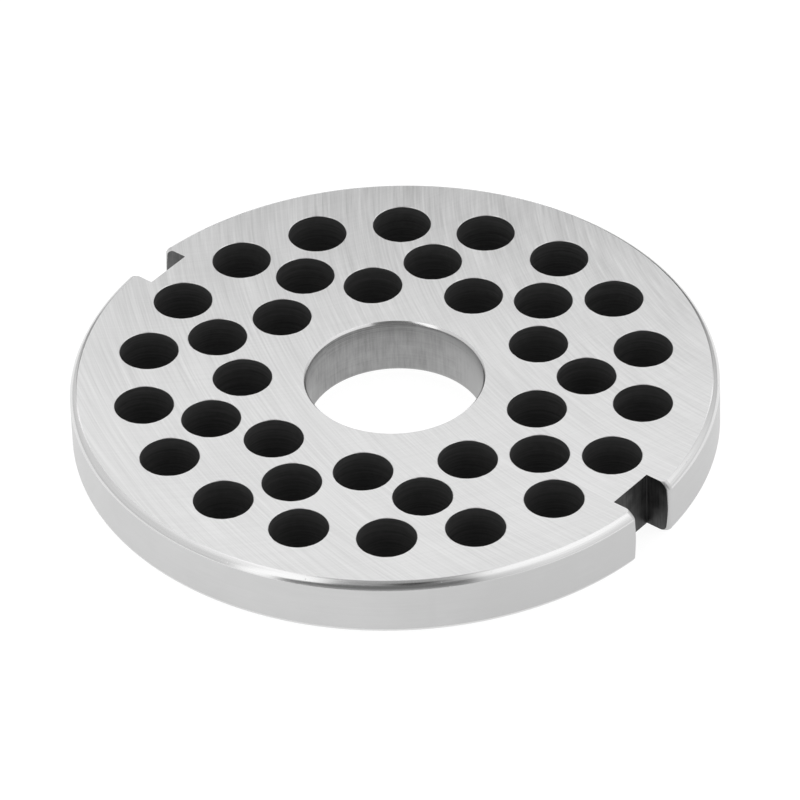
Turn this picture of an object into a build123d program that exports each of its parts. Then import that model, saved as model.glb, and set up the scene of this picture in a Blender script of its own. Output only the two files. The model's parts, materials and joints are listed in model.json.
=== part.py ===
from build123d import *

import os
from math import cos, hypot, pi, radians

# Meat grinder plate: a hardened steel disc, turned, drilled and slotted from one piece.
#
# The plate is one solid. It has a plain centre bore for the knife's spindle, three
# rings of through holes for the meat, and two slots in the rim that hold it against
# turning in the grinder's head.
#
# Frame: millimetres, +Z up, origin at the centre of the back face. The cutting face
# is on top. The first slot lies on +X and the second opposite it.

# ---------------------------------------------------------------- driving dimensions
# Disc
plate_diameter = 82.0
plate_thickness = 7.7
front_edge_radius = 1.0  # rounding between the rim and the cutting face
back_edge_chamfer = 0.4  # between the rim and the back face

# Centre bore
bore_diameter = 22.4
bore_front_chamfer = 0.35
bore_back_chamfer = 0.2

# Meat holes
hole_diameter = 7.5
rim_land = 5.45  # solid metal between the rim and the outer holes
hub_land = 4.25  # solid metal between the bore and the inner holes
pitch_ratio = 1.48  # spacing along the outer ring, in hole diameters
pattern_angle = 7.0  # from the first slot round to the first outer hole, degrees

# Locating slots
slot_count = 2
slot_width = 6.7
slot_depth = 3.7
slot_mouth_radius = 0.25  # broken edges where the slots open through the rim

# ---------------------------------------------------------------- derived dimensions
plate_radius = plate_diameter / 2
bore_radius = bore_diameter / 2
hole_radius = hole_diameter / 2

outer_ring_radius = plate_radius - rim_land - hole_radius
inner_ring_radius = bore_radius + hub_land + hole_radius

# The outer ring holds an even number of holes. The middle and inner rings hold half
# as many each: a middle hole faces every second gap of the outer ring, and an inner
# hole faces the gaps between those.
inner_count = round(pi * outer_ring_radius / (pitch_ratio * hole_diameter))
outer_count = 2 * inner_count
outer_step = 360 / outer_count
half_step = outer_step / 2

# The middle ring leaves equal webs to its outer and to its inner neighbours, which
# stand half a step and a whole step of the outer ring away from it.
middle_ring_radius = (outer_ring_radius**2 - inner_ring_radius**2) / (
    2 * outer_ring_radius * cos(radians(half_step))
    - 2 * inner_ring_radius * cos(radians(outer_step))
)

# Each ring: its radius, its number of holes and the angle of its first hole
rings = [
    (outer_ring_radius, outer_count, pattern_angle),
    (middle_ring_radius, inner_count, pattern_angle - half_step),
    (inner_ring_radius, inner_count, pattern_angle + half_step),
]

# Sides of the half section, as places in a sorted list
BORE_SIDE, RIM_SIDE = 0, -1
BACK, FRONT = 0, -1


def corner(half_section, side, face):
    """The corner of the half section at the bore or the rim, on one of the faces."""
    return half_section.vertices().group_by(Axis.X)[side].sort_by(Axis.Y)[face]


def at_slot_mouth(edge):
    """Whether an edge runs up the rim at a slot's mouth, on the straight or the rounded part."""
    distance = hypot(edge.center().X, edge.center().Y)
    return edge.geom_type != GeomType.CIRCLE and distance > plate_radius - slot_depth / 2


# ---------------------------------------------------------------- the plate
with BuildPart() as grinder_plate:
    # Turned blank: the half section of the ring, turned once round the axis
    with BuildSketch(Plane.XZ) as section:
        with Locations((bore_radius, 0)):
            Rectangle(plate_radius - bore_radius, plate_thickness, align=(Align.MIN, Align.MIN))
        chamfer(corner(section, BORE_SIDE, BACK), length=bore_back_chamfer)
        chamfer(corner(section, BORE_SIDE, FRONT), length=bore_front_chamfer)
        chamfer(corner(section, RIM_SIDE, BACK), length=back_edge_chamfer)
        fillet(corner(section, RIM_SIDE, FRONT), radius=front_edge_radius)
    revolve(axis=Axis.Z)

    # Meat holes: three rings drilled right through
    for ring_radius, hole_count, first_angle in rings:
        with PolarLocations(ring_radius, hole_count, start_angle=first_angle):
            Hole(hole_radius)

    # Locating slots: milled across the rim, open outwards and on both faces
    with BuildSketch():
        with PolarLocations(plate_radius, slot_count):
            Rectangle(2 * slot_depth, slot_width)
    extrude(amount=plate_thickness, mode=Mode.SUBTRACT)
    fillet(grinder_plate.edges().filter_by(at_slot_mouth), radius=slot_mouth_radius)

# ---------------------------------------------------------------- export
grinder_plate.part.label = "grinder_plate"

os.makedirs("parts", exist_ok=True)
export_step(grinder_plate.part, "parts/grinder_plate.step")

print(f"rings at {outer_ring_radius:.2f}, {middle_ring_radius:.2f} and {inner_ring_radius:.2f} mm")
print(f"holes: {outer_count} + {inner_count} + {inner_count}")
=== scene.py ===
# %% [markdown]
# # A meat grinder plate
#
# The plate is a hardened steel disc with a plain bore in the middle, three rings of
# drilled holes and two slots in its rim. The knife turns against its front face, so
# that face is ground flat. The rim is turned, its edges are polished round, and the
# holes keep the dark scale of the quench.
#
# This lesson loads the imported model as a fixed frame, works out one fine mesh for the
# plate, and gives each surface the finish that its tool left on it.

# %% Load the frame
import json
from math import cos, pi, radians, sin

import bpy
import numpy as np
from mathutils import Matrix, Quaternion, Vector
from mathutils.geometry import delaunay_2d_cdt


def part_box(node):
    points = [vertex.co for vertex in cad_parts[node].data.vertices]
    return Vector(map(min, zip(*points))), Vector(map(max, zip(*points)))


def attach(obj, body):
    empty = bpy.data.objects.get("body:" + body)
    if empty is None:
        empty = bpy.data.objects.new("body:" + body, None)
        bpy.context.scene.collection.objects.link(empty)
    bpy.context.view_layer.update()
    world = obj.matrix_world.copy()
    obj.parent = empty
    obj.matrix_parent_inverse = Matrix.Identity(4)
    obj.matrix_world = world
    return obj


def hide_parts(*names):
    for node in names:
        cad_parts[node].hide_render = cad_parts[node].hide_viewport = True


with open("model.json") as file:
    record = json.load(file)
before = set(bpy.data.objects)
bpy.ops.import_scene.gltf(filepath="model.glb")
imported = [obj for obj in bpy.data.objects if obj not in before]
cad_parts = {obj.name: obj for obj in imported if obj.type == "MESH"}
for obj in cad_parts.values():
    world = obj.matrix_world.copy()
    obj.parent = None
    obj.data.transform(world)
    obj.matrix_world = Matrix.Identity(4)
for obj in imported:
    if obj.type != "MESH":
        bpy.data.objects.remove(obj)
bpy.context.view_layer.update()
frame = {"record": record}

# %% [markdown]
# ## The sizes
#
# A mesh that stands for a solid has to keep its form, so the main sizes are read from
# the frame: the radius and the thickness from the solid's box, the bore, the holes and
# the slots' floors from the record's mounts. Only what neither holds is named here.
# Blender works in metres, so the millimetres of a workshop drawing are scaled once.

# %% Driving sizes
MM = 0.001
low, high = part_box("grinder_plate")
mounts = {mount["name"]: mount for mount in frame["record"]["mounts"]}

plate_radius = high.y
thickness = high.z
bore_radius = mounts["centre_bore"]["dims"]["r_mm"] * MM
hole_radius = mounts["meat_hole_inner_4"]["dims"]["r_mm"] * MM
slot_floor = mounts["slot_a"]["pos_m"][0]

front_edge = 0.92 * MM  # how far the polished edge reaches in from the rim and down
back_edge = 0.75 * MM
bore_front_chamfer = 0.27 * MM
bore_back_chamfer = 0.2 * MM
slot_width = 6.7 * MM
slot_mouth_radius = 0.25 * MM
slot_mouth_flare = 0.35 * MM  # how much rounder the mouth's corners are at the faces
hole_edge_break = 0.06 * MM
hole_edge_wander = 0.7  # how far that break comes and goes, as a share of it
rim_land = 5.45 * MM  # metal between the rim and the outer holes
hub_land = 4.25 * MM  # metal between the bore and the inner holes
pattern_angle = 7.0  # from the first slot to the first outer hole, in degrees
outer_count = 18
print(f"plate {2 * plate_radius / MM:.1f} mm across and {thickness / MM:.1f} mm thick")

# %% [markdown]
# ## The pattern of holes
#
# The outer ring has eighteen holes, and the middle and inner rings have nine each. A
# middle hole faces every second gap of the outer ring. Its ring is as far out as
# leaves equal webs on both sides: the distance from a middle hole to its outer and to
# its inner neighbour is the same, which is one equation for one radius.

# %% Place the holes
outer_ring = plate_radius - rim_land - hole_radius
inner_ring = bore_radius + hub_land + hole_radius
step = 2 * pi / outer_count
middle_ring = (outer_ring**2 - inner_ring**2) / (
    2 * outer_ring * cos(step / 2) - 2 * inner_ring * cos(step)
)


def ring_of_holes(radius, count, first):
    """Centres at equal angles round a circle of that radius, the first at angle first."""
    angle = first + np.arange(count) * 2 * pi / count
    return np.column_stack([radius * np.cos(angle), radius * np.sin(angle)])


first = radians(pattern_angle)
hole_centres = np.vstack([
    ring_of_holes(outer_ring, outer_count, first),
    ring_of_holes(middle_ring, outer_count // 2, first - step / 2),
    ring_of_holes(inner_ring, outer_count // 2, first + step / 2),
])
print(len(hole_centres), "holes, rings at",
      [round(r / MM, 2) for r in (outer_ring, middle_ring, inner_ring)], "mm")

# %% [markdown]
# ## One mesh
#
# The disc could be a cylinder with booleans, but a boolean leaves long thin triangles
# along each cut, and a polished edge shows every one of them. Here each surface is a
# grid of its own, worked out by a formula, and neighbours share the points of the edge
# between them. So no gap opens between surfaces, and only the edges that are sharp on
# the real plate are marked sharp.
#
# The class below only collects: points, faces with the finish that they get, and the
# rows of points that are sharp edges.

# %% A collector for the mesh
# The finishes, numbered as the plate's material slots will be
GROUND, POLISHED, TURNED, REAMED, DRILLED, MILLED = range(6)


class PlateMesh:
    """Points, faces and sharp edges, gathered as whole arrays."""

    def __init__(self):
        self.points, self.faces, self.finishes, self.sharp = [], [], [], []
        self.count = 0

    def grid(self, points):
        """Adds a rows by columns block of points. Returns their numbers in that shape."""
        rows, columns = points.shape[:2]
        numbers = self.count + np.arange(rows * columns).reshape(rows, columns)
        self.points.append(points.reshape(-1, 3))
        self.count += rows * columns
        return numbers

    def skin(self, numbers, finish):
        """Joins a grid whose columns close into a loop. The columns run counter-clockwise
        seen from above: rows that rise then give faces that look away from the axis, and
        rows that fall give faces that look towards it."""
        here, after = numbers, np.roll(numbers, -1, axis=1)
        quads = np.stack([here[:-1], after[:-1], after[1:], here[1:]], axis=-1)
        self.faces.append(quads.reshape(-1, 4))
        self.finishes.append(np.broadcast_to(finish, quads.shape[:2]).reshape(-1))

    def crease(self, path, closed=True):
        """Marks the edges along a row of points as sharp."""
        pairs = np.column_stack([path, np.roll(path, -1)])
        self.sharp.append(pairs if closed else pairs[:-1])

    def plane(self, loops, up, finish):
        """Fills the flat face inside the first loop and outside the others with triangles
        whose corners are the loops' own points. The filling covers the holes too, so a
        triangle goes if its middle is nearer a hole's centre than half the hole's width.
        Slivers along an edge that wanders further out than that pass the test and stay.
        Returns how many points that added, which is none where the loops are sound."""
        numbers = np.concatenate(loops)
        flat = np.vstack(self.points)[numbers, :2] / MM
        starts = np.cumsum([0] + [len(loop) for loop in loops])
        edges = np.concatenate([
            np.column_stack([a + np.arange(b - a), a + np.roll(np.arange(b - a), -1)])
            for a, b in zip(starts[:-1], starts[1:])
        ])
        inside_only, near = 1, 1e-7  # the kind of filling, and how near is the same point
        done = delaunay_2d_cdt([Vector(p) for p in flat], edges.tolist(), [],
                               inside_only, near)
        triangles = np.array(done[2])
        middle = flat[triangles].mean(axis=1)
        holes = [(flat[a:b].mean(axis=0), np.ptp(flat[a:b, 0]) / 2)
                 for a, b in zip(starts[1:-1], starts[2:])]
        inside = [np.hypot(*(middle - centre).T) < radius for centre, radius in holes]
        triangles = triangles[~np.any(inside, axis=0)]
        a, b, c = flat[triangles].transpose(1, 2, 0)
        turn = (b[0] - a[0]) * (c[1] - a[1]) - (b[1] - a[1]) * (c[0] - a[0])
        triangles = np.where(((turn > 0) == up)[:, None], triangles, triangles[:, ::-1])
        self.faces.append(numbers[triangles])
        self.finishes.append(np.full(len(triangles), finish))
        return len(done[0]) - len(flat)

    def build(self, name):
        """Makes the Blender mesh from what was gathered."""
        mesh = bpy.data.meshes.new(name)
        faces = [face for block in self.faces for face in block.tolist()]
        mesh.from_pydata(np.vstack(self.points).tolist(), [], faces)
        mesh.polygons.foreach_set("use_smooth", np.ones(len(faces), bool))
        finishes = np.concatenate(self.finishes).astype(np.int32)
        mesh.polygons.foreach_set("material_index", finishes)
        ends = np.empty(len(mesh.edges) * 2, np.int32)
        mesh.edges.foreach_get("vertices", ends)
        # One number for each edge, from its two points, finds the edges that were marked
        key = np.sort(ends.reshape(-1, 2), axis=1) @ [self.count, 1]
        marked = np.sort(np.vstack(self.sharp), axis=1) @ [self.count, 1]
        mesh.edges.foreach_set("use_edge_sharp", np.isin(key, marked))
        mesh.update()
        return mesh


plate_mesh = PlateMesh()
print("points in the empty mesh:", plate_mesh.count)

# %% [markdown]
# ## The outside: rim, rounded edges and slots
#
# Seen from above, the outline is the same at every height apart from the radius of its
# round part. So one function gives the outline for any radius, and one short list of
# radii and heights goes up the rounding of the back edge, the straight rim and the
# rounding of the front edge. Together they are a grid: rows go up, columns go round.
#
# A slot's wall is a plane, and the rounded edge ends where it meets that plane, so the
# wall's outer end moves with the radius. A small fillet breaks the corner between them,
# as a few strokes of a file do on the real plate. A file rocks at the ends of its stroke,
# so the fillet is rounder near the two faces.

# %% The outline at one height
half_width = slot_width / 2
ARC, WALL, MOUTH, FLOOR = 360, 7, 9, 9  # points along each part of the outline


def outline(radius, mouth_radius):
    """Half of the plate's outline for arrays of radii and mouth radii, one of each a
    level, as (levels, columns, 2): up the first slot's wall, round its mouth, along the
    circle to the other slot's mouth, down its wall and half of its floor. The other half
    is the same turned by half a turn."""
    r, m = radius[:, None], mouth_radius[:, None]
    reach = np.sqrt((r - m)**2 - (half_width + m)**2)
    lean = np.arctan2(half_width + m, reach)
    t = np.linspace(0, 1, WALL, endpoint=False)
    wall = np.stack([slot_floor + (reach - slot_floor) * t,
                     np.full((len(radius), WALL), half_width)], -1)
    t = np.linspace(0, 1, MOUTH, endpoint=False)
    turn = -pi / 2 + (pi / 2 + lean) * t
    mouth = np.stack([reach + m * np.cos(turn), half_width + m * (1 + np.sin(turn))], -1)
    turn = lean + (pi - 2 * lean) * np.linspace(0, 1, ARC)
    arc = np.stack([r * np.cos(turn), r * np.sin(turn)], -1)
    other = np.concatenate([wall, mouth], 1)[:, ::-1] * [-1, 1]
    t = np.linspace(1, -1, FLOOR)[1:-1]
    floor = np.stack([np.full(len(t), -slot_floor), half_width * t], -1)
    floor = np.broadcast_to(floor, (len(radius), *floor.shape))
    half = np.concatenate([wall, mouth, arc, other, floor], 1)
    return np.concatenate([half, -half], 1)


trial = outline(np.array([plate_radius]), np.array([slot_mouth_radius]))
print("points round the outline:", trial.shape[1])

# %% [markdown]
# The edges are rounded by hand against a felt wheel, so a rounding doesn't run quite
# smoothly into the rim and the face: it meets both at a small angle. An arc that stops
# short by that angle at both ends has just this form, and the two creases catch a fine
# line of light.

# %% The grid up the edges and the rim
BACK_ROWS, RIM_ROWS, FRONT_ROWS = 7, 13, 17
front_lean, back_lean = radians(18), radians(12)


def rounded(reach, lean, rows):
    """A rounded edge as in and up distances from the sharp corner, from the rim to the
    face: an arc from one lean to a quarter turn less that lean, of the radius that makes
    it reach so far in and down."""
    angle = np.linspace(lean, pi / 2 - lean, rows)
    radius = reach / (cos(lean) - sin(lean))
    return (cos(lean) - np.cos(angle)) * radius, (np.sin(angle) - cos(lean)) * radius


inward, below = rounded(front_edge, front_lean, FRONT_ROWS)
back_inward, back_below = rounded(back_edge, back_lean, BACK_ROWS)
radii = np.concatenate([
    plate_radius - back_inward[::-1],
    np.full(RIM_ROWS - 2, plate_radius),
    plate_radius - inward,
])
heights = np.concatenate([
    -back_below[::-1],
    np.linspace(back_edge, thickness - front_edge, RIM_ROWS)[1:-1],
    thickness + below,
])
from_middle = np.abs(2 * heights / thickness - 1)  # 1 at both faces
flat = outline(radii, slot_mouth_radius + slot_mouth_flare * from_middle**1.5)
levels = np.broadcast_to(heights[:, None, None], (*flat.shape[:2], 1))
outside = plate_mesh.grid(np.concatenate([flat, levels], -1))
print("outside grid:", outside.shape, "rows and columns")

# %% [markdown]
# The round part gets its finish by row: polished edges with the turned rim between
# them. A slot gets it by column: milled walls and floor, and mouths that the file left
# as dull as the rim. The slots' inner corners are sharp, and so are the lines where a
# rounding begins and ends.

# %% Finish and crease the outside
BY_ROW = -1
row_finish = np.full((len(radii) - 1, 1), TURNED)
rim_low, rim_high = BACK_ROWS - 1, BACK_ROWS + RIM_ROWS - 2
row_finish[:rim_low] = POLISHED
row_finish[rim_high:] = POLISHED
parts = [(WALL, MILLED), (MOUTH, TURNED), (ARC - 1, BY_ROW), (MOUTH, TURNED),
         (WALL + FLOOR - 1, MILLED)]
column_finish = np.tile(np.concatenate([np.full(n, f) for n, f in parts]), 2)
finish = np.where(column_finish == BY_ROW, row_finish, column_finish)
plate_mesh.skin(outside, finish)
for row in (0, rim_low, rim_high, -1):
    plate_mesh.crease(outside[row])
for start in (0, outside.shape[1] // 2):
    for column in (start, start + 2 * WALL + 2 * MOUTH + ARC - 1):
        plate_mesh.crease(outside[:, column], closed=False)
print("faces round the outside:", finish.size, "of them in the slots:",
      int((column_finish == MILLED).sum()) * len(row_finish))

# %% [markdown]
# ## The bore
#
# The bore is a turned surface: a short profile carried round the axis. A small chamfer
# leads the spindle in on both faces, and a stroke of a stone has eased the foot of the
# front one. The rows go down, so that the faces look inwards to the axis, which is
# outwards from the metal.

# %% Turn the bore
BORE_COLUMNS = 288
ease_in, ease_down, ease_end = 0.12, 0.88, 1.15  # the eased foot, in chamfers
bore_profile = np.array([
    (bore_radius + bore_front_chamfer, thickness),
    (bore_radius + ease_in * bore_front_chamfer,
     thickness - ease_down * bore_front_chamfer),
    (bore_radius, thickness - ease_end * bore_front_chamfer),
    (bore_radius, thickness / 2),
    (bore_radius, bore_back_chamfer),
    (bore_radius + bore_back_chamfer, 0),
])


def turned(profile, columns, centre=(0, 0), wander=0):
    """A profile of (radius, height) carried round an upright axis, as (rows, columns, 3):
    across is the centre plus the radius times the cosine and sine of the angle. wander
    is added to the radius, and may change from column to column."""
    angle = np.arange(columns) * 2 * pi / columns
    r = profile[:, :1] + wander
    z = np.broadcast_to(profile[:, 1:], (len(profile), columns))
    return np.stack([centre[0] + r * np.cos(angle), centre[1] + r * np.sin(angle), z], -1)


bore = plate_mesh.grid(turned(bore_profile, BORE_COLUMNS))
bore_finish = np.array([POLISHED, POLISHED, REAMED, REAMED, POLISHED])[:, None]
plate_mesh.skin(bore, bore_finish)
for row in (0, -2, -1):
    plate_mesh.crease(bore[row])
print("bore grid:", bore.shape, "rows and columns")

# %% [markdown]
# ## The meat holes
#
# Grinding the face leaves a fine wire edge round every hole, and stoning it off breaks
# the edge by a few hundredths of a millimetre, never quite evenly. So each hole's edge
# wanders a little: a sum of a few waves round the hole, with phases from one seeded
# generator, so that no two holes are alike and every run gives the same plate.

# %% Drill the holes
HOLE_COLUMNS = 96
chance = np.random.default_rng(7)
waves = np.array([3, 5, 8, 13, 21])[:, None]
around = np.arange(HOLE_COLUMNS) * 2 * pi / HOLE_COLUMNS
front_rings, back_rings = [], []
for centre in hole_centres:
    phase = chance.uniform(0, 2 * pi, waves.shape)
    weight = chance.uniform(0.3, 1.0, waves.shape)
    uneven = (weight * np.sin(waves * around + phase)).sum(0) / weight.sum()
    edge = hole_edge_break * (1 + hole_edge_wander * uneven)
    depth = np.array([thickness, thickness - hole_edge_break, hole_edge_break, 0])
    profile = np.column_stack([np.full(4, hole_radius), depth])
    wander = np.outer([1, 0, 0, 1], edge)
    wall = plate_mesh.grid(turned(profile, HOLE_COLUMNS, centre, wander))
    plate_mesh.skin(wall, np.array([GROUND, DRILLED, GROUND])[:, None])
    for row in wall:
        plate_mesh.crease(row)
    front_rings.append(wall[0])
    back_rings.append(wall[-1])
print("holes drilled:", len(front_rings))

# %% [markdown]
# ## The two flat faces
#
# A flat face needs no points of its own. A constrained Delaunay triangulation joins the
# points of the outline, the bore and the holes with triangles that keep every edge.
#
# The last line counts the edges that aren't between two faces. On a closed mesh there
# are none. Here there are some, all at the holes' edges, where the filling leaves
# slivers less than a twentieth of a millimetre wide over the holes. To drop every
# triangle whose three corners are on one hole's loop would close the mesh.

# %% Fill the faces
new_front = plate_mesh.plane([outside[-1], bore[0], *front_rings], True, GROUND)
new_back = plate_mesh.plane([outside[0], bore[-1], *back_rings], False, GROUND)
mesh = plate_mesh.build("plate")
plate = bpy.data.objects.new("ground_plate", mesh)
bpy.context.scene.collection.objects.link(plate)
print("points that the filling added:", new_front + new_back, "faces:", len(mesh.polygons))

edge_uses = np.zeros(len(mesh.edges), int)
loop_edges = np.empty(len(mesh.loops), np.int32)
mesh.loops.foreach_get("edge_index", loop_edges)
np.add.at(edge_uses, loop_edges, 1)
print("edges that aren't between two faces:", int((edge_uses != 2).sum()))

# %% [markdown]
# ## Writing a finish as sums
#
# A finish is a small calculation: this much noise, stretched that way, added to the
# roughness. Node by node in Python, the calculation disappears among the links. So one
# class wraps a socket: plus, minus and times on it add the Math node, and one method
# adds any other node from its type, its settings and its inputs.

# %% A socket that can be reckoned with
class Signal:
    """The output socket of a node, in arithmetic with numbers and with its own kind."""

    def __init__(self, tree, socket=None):
        self.tree, self.socket = tree, socket

    def node(self, kind, settings=None, inputs=None, output=0):
        """Adds a node: its settings first, and then its inputs by the socket's name or
        number, each a value or a signal. Returns the signal of one output."""
        node = self.tree.nodes.new(kind)
        for name, value in (settings or {}).items():
            setattr(node, name, value)
        for name, value in (inputs or {}).items():
            if isinstance(value, Signal):
                self.tree.links.new(value.socket, node.inputs[name])
            else:
                node.inputs[name].default_value = value
        return Signal(self.tree, node.outputs[output] if node.outputs else None)

    def math(self, operation, *values):
        """Adds a Math node of that operation on the values."""
        return self.node("ShaderNodeMath", {"operation": operation},
                         dict(enumerate(values)))

    def __add__(self, other): return self.math("ADD", self, other)
    def __radd__(self, other): return self.math("ADD", other, self)
    def __sub__(self, other): return self.math("SUBTRACT", self, other)
    def __rsub__(self, other): return self.math("SUBTRACT", other, self)
    def __mul__(self, other): return self.math("MULTIPLY", self, other)
    def __rmul__(self, other): return self.math("MULTIPLY", other, self)
    def __abs__(self): return self.math("ABSOLUTE", self)

    def at_least(self, other):
        """The larger of the signal and the other."""
        return self.math("MAXIMUM", self, other)

    def root(self):
        """The square root."""
        return self.math("SQRT", self)

    def angle(self, x):
        """The angle in radians of the point whose y is the signal."""
        return self.math("ARCTAN2", self, x)

    def scaled(self, factor):
        """A vector times a number."""
        return self.node("ShaderNodeVectorMath", {"operation": "SCALE"},
                         {0: self, "Scale": factor})

    def parts(self):
        """A vector's three numbers, each a signal."""
        split = self.node("ShaderNodeSeparateXYZ", inputs={0: self}).socket.node
        return [Signal(self.tree, socket) for socket in split.outputs]

    def vector(self, x, y, z):
        """A vector from three numbers or signals."""
        return self.node("ShaderNodeCombineXYZ", inputs={0: x, 1: y, 2: z})

    def step(self, low, high):
        """0 where the signal is below low, 1 above high, and a smooth rise between them.
        With low above high it falls instead."""
        return self.node("ShaderNodeMapRange", {"interpolation_type": "SMOOTHSTEP"},
                         {"Value": self, "From Min": low, "From Max": high})

    def noise(self, vector, detail=2.0, rough=0.5):
        """Noise around 0, mostly between -0.5 and 0.5, at one wave for each unit."""
        inputs = {"Vector": vector, "Scale": 1.0, "Detail": detail, "Roughness": rough}
        return self.node("ShaderNodeTexNoise", {"noise_dimensions": "3D"}, inputs) - 0.5

    def blend(self, low, high):
        """A grey between two others, by the signal."""
        return self.node("ShaderNodeMix", {"data_type": "RGBA"},
                         {"Factor": self, 6: (low, low, low, 1), 7: (high, high, high, 1)},
                         output=2)

    def bump(self, height, depth):
        """A normal that leans as a surface of that height would, depth metres a unit."""
        return self.node("ShaderNodeBump",
                         inputs={"Height": height, "Distance": depth, "Strength": 1.0})


def finish_of(name, **fixed):
    """A new material, its Principled node, and the place on the object in millimetres.
    fixed are sockets that have one value all over."""
    material = bpy.data.materials.new(name)
    material.use_nodes = True
    tree = material.node_tree
    tree.nodes.clear()
    shader = tree.nodes.new("ShaderNodeBsdfPrincipled")
    out = tree.nodes.new("ShaderNodeOutputMaterial")
    tree.links.new(shader.outputs[0], out.inputs[0])
    for socket, value in fixed.items():
        shader.inputs[socket.replace("_", " ")].default_value = value
    metres = Signal(tree).node("ShaderNodeTexCoord", output="Object")
    return material, shader, metres.scaled(1 / MM)


def drive(shader, **signals):
    """Links signals to the Principled node's sockets by name, and prints the total."""
    for socket, signal in signals.items():
        signal.tree.links.new(signal.socket, shader.inputs[socket.replace("_", " ")])
    material = shader.id_data
    print(len(material.nodes), "nodes drive", ", ".join(signals))


# %% [markdown]
# ## The ground face
#
# A cup wheel grinds the face. It passes over the plate in one sweep, so the scratches
# are arcs about the wheel's spindle, well outside the plate, and not rings about the
# plate's own centre. In polar coordinates about the spindle, a scratch is a line of one
# radius, so noise that is fine across the radius and very long along the arc draws them.
# Three scales are added: hair-fine grit, coarser grains, and broad bands where the wheel
# pressed harder. A second, fainter set crosses them where the wheel left the work.

# %% Grind the face
wheel = (38.7, 80.5)  # the spindle of the grinding wheel, in mm
leaving_wheel = (-95, 60)  # where it stood as it left the work
wheel_arc = 90  # mm of arc for a radian, near the middle of the plate


def arcs(place, centre):
    """Radius from the wheel's spindle, and the way along the arc, both in mm."""
    x, y, z = place.parts()
    x, y = x - centre[0], y - centre[1]
    return (x * x + y * y).root(), y.angle(x) * wheel_arc


ground, shader, place = finish_of("ground_face", Metallic=1.0)
radius, along = arcs(place, wheel)
hair = place.noise(place.vector(radius * 4.0, along * 0.09, 0), detail=3, rough=0.6)
grain = place.noise(place.vector(radius * 1.6, along * 0.06, 5))
band = place.noise(place.vector(radius * 0.25, along * 0.01, 9), detail=1)
radius, along = arcs(place, leaving_wheel)
cross = place.noise(place.vector(radius * 3.2, along * 0.05, 3))
cloud = place.noise(place.scaled(0.05))
tone = hair * 1.8 + grain * 0.8 + band * 0.4 + cross * 0.4 + cloud * 0.3 + 0.5
drive(shader,
      Base_Color=tone.blend(0.59, 0.75),
      Roughness=hair * 0.16 + grain * 0.10 + band * 0.08 + 0.34,
      Normal=place.bump(hair + grain * 0.6 + cross * 0.4, 0.005 * MM))

# %% [markdown]
# ## The polished edge
#
# The front and back edges and the bore's chamfers are rounded on a felt wheel, and are
# the only bright surfaces of the plate. A polish isn't perfect: under the gloss there
# are fine lines along the edge, and a few tiny nicks from other plates in the box.

# %% Polish the edges
rim_arc = 41  # mm of arc for a radian at the rim
polished, shader, place = finish_of("polished_edge", Metallic=1.0)
x, y, z = place.parts()
round_way = y.angle(x) * rim_arc
radius = (x * x + y * y).root()
lines = place.noise(place.vector(round_way * 0.15, z * 9, radius * 9))
nick = place.noise(place.scaled(1.3), detail=3).step(0.20, 0.27)
tone = lines * 0.8 + 0.5 - nick * 0.5
drive(shader,
      Base_Color=tone.blend(0.60, 0.74),
      Roughness=lines * 0.10 + nick * 0.25 + 0.17,
      Normal=place.bump(lines * 0.4 - nick, 0.006 * MM))

# %% [markdown]
# ## The turned rim
#
# A turning tool leaves a groove round the rim at each turn, a tenth of a millimetre
# apart. The rim then rubs in the grinder's ring, which softens the grooves to a satin.
# The rim is also coloured darker on its +x side, which is painted shade.

# %% Turn the rim
turned_rim, shader, place = finish_of("turned_rim", Metallic=1.0)
x, y, z = place.parts()
round_way = y.angle(x) * rim_arc
groove = place.noise(place.vector(round_way * 0.04, z * 8, 0))
rub = place.noise(place.vector(round_way * 0.25, z * 0.8, 4))
cloud = place.noise(place.scaled(0.12))
# painted shade: the rim's colour is darker towards +x
painted_rim_shade = x.step(20, 38)
tone = groove * 0.5 + rub * 0.4 + cloud * 0.5 - painted_rim_shade * 0.5 + 0.5
drive(shader,
      Base_Color=tone.blend(0.54, 0.66),
      Roughness=groove * 0.12 + rub * 0.08 + 0.38,
      Normal=place.bump(groove + rub * 0.3, 0.004 * MM))

# %% [markdown]
# ## The reamed bore
#
# A reamer leaves the bore smooth but not bright, with faint streaks where chips were
# dragged up the wall, and rings that show most near the top. The bore is also coloured
# brighter at the foot and down one side, which is a painted highlight.

# %% Ream the bore
bore_arc = 11  # mm of arc for a radian in the bore
reamed, shader, place = finish_of("reamed_bore", Metallic=1.0)
x, y, z = place.parts()
round_way = y.angle(x) * bore_arc
streak = place.noise(place.vector(round_way * 3, z * 0.22, 0), detail=3, rough=0.65)
ring = place.noise(place.vector(round_way * 0.08, z * 4, 7))
cloud = place.noise(place.scaled(0.6), detail=3)
near_top = z.step(thickness / MM - 2.5, thickness / MM - 0.3)
# painted highlight: the bore's colour is brighter near its foot and down one side
painted_foot_highlight = z.step(0.45, 0.15)
painted_side_light = (x * 0.78 + y * 0.62).step(3, 11)
tone = (streak * 1.5 + ring * (near_top * 3.4 + 0.6) + cloud * 0.9 + painted_foot_highlight * 0.7
        + painted_side_light * 0.65 + 0.46)
drive(shader,
      Base_Color=tone.blend(0.26, 0.41),
      Roughness=streak * 0.12 + ring * 0.1 + 0.42,
      Normal=place.bump(streak * 0.6 + ring * near_top, 0.005 * MM))
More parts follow.
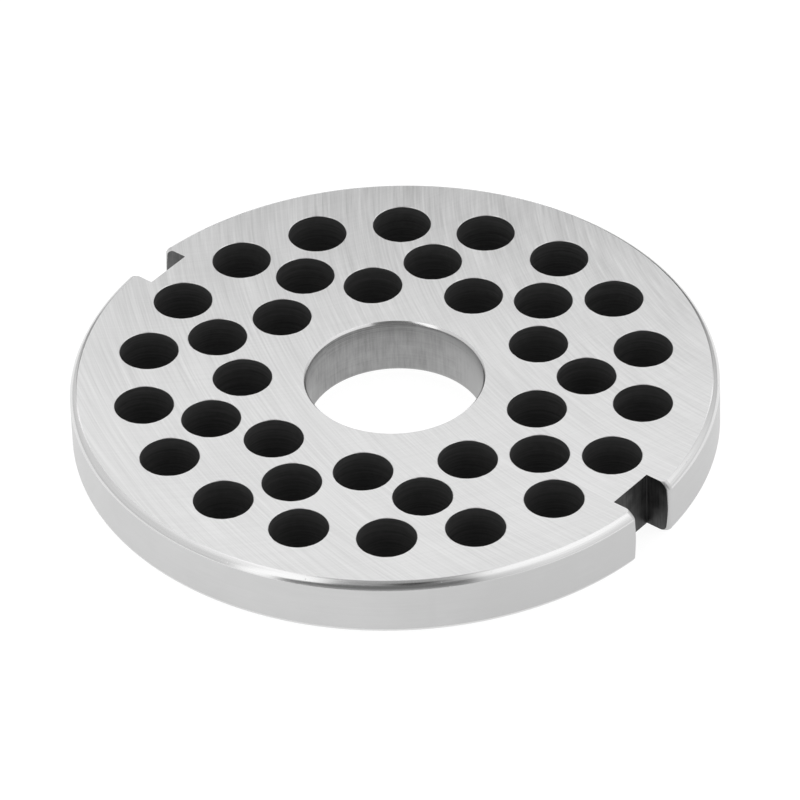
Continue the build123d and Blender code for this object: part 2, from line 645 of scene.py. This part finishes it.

# %% [markdown]
# ## The drilled holes
#
# Drilling leaves rings on the wall, and the quench covers them with a dark oxide scale
# that no tool reaches afterwards. Scale is an oxide and not a bright metal, so Metallic
# is low. Small flakes of it have come away and show grey steel. The colour also darkens
# deeper down the hole, which is painted shade.

# %% Scale the holes
scale, shader, place = finish_of("drilled_hole", Specular_IOR_Level=0.1)
x, y, z = place.parts()
blotch = place.noise(place.scaled(0.9), detail=4)
ring = place.noise(place.vector(x * 0.15, y * 0.15, z * 3.2), detail=3)
flake = blotch.step(0.14, 0.24)
# painted shade: z * 0.08 makes the scale darker deeper down the hole
tone = ring * 0.7 + blotch * 0.3 + z * 0.08 + 0.02
drive(shader,
      Base_Color=tone.blend(0.006, 0.10),
      Metallic=flake * 0.3 + 0.02,
      Roughness=ring * 0.15 + blotch * 0.2 + 0.6,
      Normal=place.bump(ring + blotch * 0.5, 0.02 * MM))

# %% [markdown]
# ## The milled slots
#
# An end mill cuts the slots, and its teeth leave upright streaks on their walls and a
# fine bright line where wall and floor meet. The slot on the -x side is coloured lighter
# than the other, which is painted light: the two slots differ only in the light on them.

# %% Mill the slots
milled, shader, place = finish_of("milled_slot", Metallic=0.9)
x, y, z = place.parts()
streak = place.noise(place.vector(x * 3.5, y * 3.5, z * 0.18), detail=3, rough=0.6)
blotch = place.noise(place.scaled(0.5), detail=3)
# painted light: the slot on the -x side gets a lighter colour
painted_light_slot = x.step(5, -5)
in_x, in_y = abs(x) - slot_floor / MM, abs(y) - half_width / MM
corner = (in_x * in_x + in_y * in_y).root().step(0.16, 0.04)
tone = streak * 0.5 + blotch * 0.5 + corner * 0.35 + painted_light_slot * 0.25 + 0.19
drive(shader,
      Base_Color=tone.blend(0.02, 0.25),
      Roughness=streak * 0.15 + blotch * 0.2 + 0.46,
      Normal=place.bump(streak + blotch * 0.4, 0.012 * MM))

# %% [markdown]
# ## The dressed plate
#
# The slots of materials are filled in the order in which the faces were numbered. Then
# the imported solid is hidden, and the plate stands for it and moves with the body "root".

# %% Dress the plate
for material in (ground, polished, turned_rim, reamed, scale, milled):
    plate.data.materials.append(material)
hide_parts("grinder_plate")
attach(plate, "root")
print("finishes on the plate:", [m.name for m in plate.data.materials])

# %% [markdown]
# ## The floor
#
# The plate lies on a white table. Seen directly the floor shines by itself, so that it
# is white to its edges, and the little that the lamp adds still shows the plate's shadow.
# The floor is clear from below, so that the back face can be looked at too. It lies a
# hair under the plate, because two faces in one plane would show through each other.

# %% Lay the floor
half_side = 3.0
below_plate = 0.05 * MM
square = np.array([(-1, -1, 0), (1, -1, 0), (1, 1, 0), (-1, 1, 0)]) * half_side
floor_mesh = bpy.data.meshes.new("floor")
floor_mesh.from_pydata(square.tolist(), [], [(0, 1, 2, 3)])
floor = bpy.data.objects.new("floor", floor_mesh)
floor.location.z = -below_plate
bpy.context.scene.collection.objects.link(floor)

paper, shader, place = finish_of("white_table", Roughness=0.9, Specular_IOR_Level=0.1,
                                 Base_Color=(0.20, 0.20, 0.20, 1), Emission_Strength=0.90)
camera_ray = place.node("ShaderNodeLightPath", output="Is Camera Ray")
glossy_ray = place.node("ShaderNodeLightPath", output="Is Glossy Ray")
drive(shader, Emission_Color=camera_ray.at_least(glossy_ray).blend(0, 1))
from_below = place.node("ShaderNodeNewGeometry", output="Backfacing")
clear = place.node("ShaderNodeBsdfTransparent")
paper_or_clear = place.node("ShaderNodeMixShader", inputs={
    0: from_below, 1: Signal(place.tree, shader.outputs[0]), 2: clear})
out = place.tree.nodes["Material Output"]
place.tree.links.new(paper_or_clear.socket, out.inputs[0])
floor_mesh.materials.append(paper)

# %% [markdown]
# ## The light
#
# A flat face shows one patch of what is around it, so a lamp far away lights it evenly.
# This lamp stands close behind the plate, upright and four plates wide. The front of the
# face mirrors the lamp itself, but the back of the face is nearer to it and mirrors its
# foot and the darker cloth below, and so the face darkens softly towards the back.

# %% Light the plate
facing = radians(-50.0)  # the way to the camera, seen from above
lamp_height_angle = 47.6  # degrees above the table, seen from the plate


def round_camera(azimuth, elevation, distance):
    """A place at that azimuth from the camera's own, positive to its right."""
    a, e = radians(azimuth) + facing, radians(elevation)
    return (distance * cos(e) * cos(a), distance * cos(e) * sin(a), distance * sin(e))


def softbox(name, place, size, glow, lean):
    """A lamp facing the plate, of that width and height in metres. A lamp's radiance is
    its power over pi and its area, so that glow 1 is as bright as a white sheet. lean
    turns it up by so many degrees from there: as much as it stands high is upright."""
    light = bpy.data.lights.new(name, "AREA")
    light.shape, (light.size, light.size_y) = "RECTANGLE", size
    light.energy = glow * pi * size[0] * size[1]
    lamp = bpy.data.objects.new(name, light)
    lamp.location = place
    turn = (-Vector(place)).to_track_quat("-Z", "Y") @ Quaternion((1, 0, 0), radians(lean))
    lamp.rotation_euler = turn.to_euler()
    lamp.visible_camera = False
    bpy.context.scene.collection.objects.link(lamp)
    print(f"{name}: {light.energy:.4f} W")


softbox("lamp_back", round_camera(180, lamp_height_angle, 0.237), size=(0.32, 0.13),
        glow=0.91, lean=lamp_height_angle)

# %% [markdown]
# ## The tent
#
# Small bright things are lit in a tent of white cloth with a slit in front. The cloth
# gives every surface something white to show, and the slit is the dark line that a
# polished edge needs. The world is that tent: a strength for each direction, worked out
# from the direction's own numbers, which run from -1 to 1.
#
# The slit runs from the table up past the camera to the top, and low down it is wider on
# the left. It is darkest in a round where the lens looks in, and lighter near the table
# and the top. The cloth is brighter in a panel on the left, overhead, and high up and
# far out on the right. It is darker near the table and straight behind, where it shows
# under the lamp. Seen directly the world is plain white.

# %% Put up the tent
CLOTH, SLIT = 0.88, 0.20  # strengths, where 1 is a white sheet
EDGE = 0.04  # how softly the cloth ends

world = bpy.data.worlds.new("white_tent")
world.use_nodes = True
bpy.context.scene.world = world
world.node_tree.nodes.clear()
tent = Signal(world.node_tree)
x, y, z = tent.node("ShaderNodeTexCoord", output="Generated").parts()
front = x * cos(facing) + y * sin(facing)
side = y * cos(facing) - x * sin(facing)
ahead = front.at_least(0)

# Where cloth hangs: on each side of the slit, and behind
right_edge = ahead * 0.25 + 0.17
left_edge = ahead * (z.step(0.70, 0.45) * 0.35 + 0.25) + 0.17
right_cloth = (side - right_edge).step(-EDGE, EDGE)
left_cloth = (side + left_edge).step(EDGE, -EDGE)
back_cloth = front.step(-0.1, -0.4)
cloth = left_cloth.at_least(right_cloth).at_least(back_cloth)

# How bright the cloth is
panel = left_cloth * (side + ahead * 0.75 + 0.36).step(-0.05, 0.05)
overhead = z.step(0.60, 0.95)
high_right = right_cloth * (z.step(0.35, 0.80) * 0.24 + side.step(0.45, 0.75) * 0.16)
middle = side.step(-0.52, -0.36) - side.step(0.36, 0.52) * 0.65
straight_behind = front.step(-0.35, -0.75) * middle
low_down = z.step(0.30, 0.0)
glow = ((panel * 0.60).at_least(overhead * 0.30) + high_right + CLOTH
        - straight_behind * 0.60 - low_down * 0.15)

# How dark the slit is, with the lens in it
lens_side, lens_up = side - 0.045, (front - 0.46) * 0.5
lens_round = (lens_side * lens_side + lens_up * lens_up).root().step(0.14, 0.05)
gap = z.step(0.70, 0.84) * 0.24 + z.step(0.45, 0.10) * 0.16 + SLIT - lens_round * 0.42
gap = gap.at_least(0.02)

camera_ray = tent.node("ShaderNodeLightPath", output="Is Camera Ray")
strength = (gap + (glow - gap) * cloth).at_least(camera_ray)
light = tent.node("ShaderNodeBackground",
                  inputs={"Color": (1, 1, 1, 1), "Strength": strength})
tent.node("ShaderNodeOutputWorld", inputs={"Surface": light})
print("nodes in the tent:", len(world.node_tree.nodes))

# %% [markdown]
# ## The camera
#
# A long lens from nine tenths of a metre, looking down on the plate at about 38 degrees,
# a little turned about its own axis. The three directions of the camera are the columns
# of its matrix.

# %% Place the camera
eye = Vector((464.549, -552.878, 577.400)) * MM
right = Vector((0.78015, 0.62494, -0.02845))
down = Vector((0.37158, -0.49950, -0.78258))
sight = Vector((-0.50328, 0.59995, -0.62190))
lens = bpy.data.cameras.new("camera")
lens.sensor_width, lens.lens = 36, 328.50
lens.clip_start, lens.clip_end = 0.01, 20
camera = bpy.data.objects.new("camera", lens)
turn = Matrix((right, -down, -sight)).transposed().to_4x4()
camera.matrix_world = Matrix.Translation(eye) @ turn
bpy.context.scene.collection.objects.link(camera)
bpy.context.scene.camera = camera
bpy.context.scene.view_settings.view_transform = "Standard"
print(f"camera {eye.length:.3f} m from the plate, with a {lens.lens} mm lens")
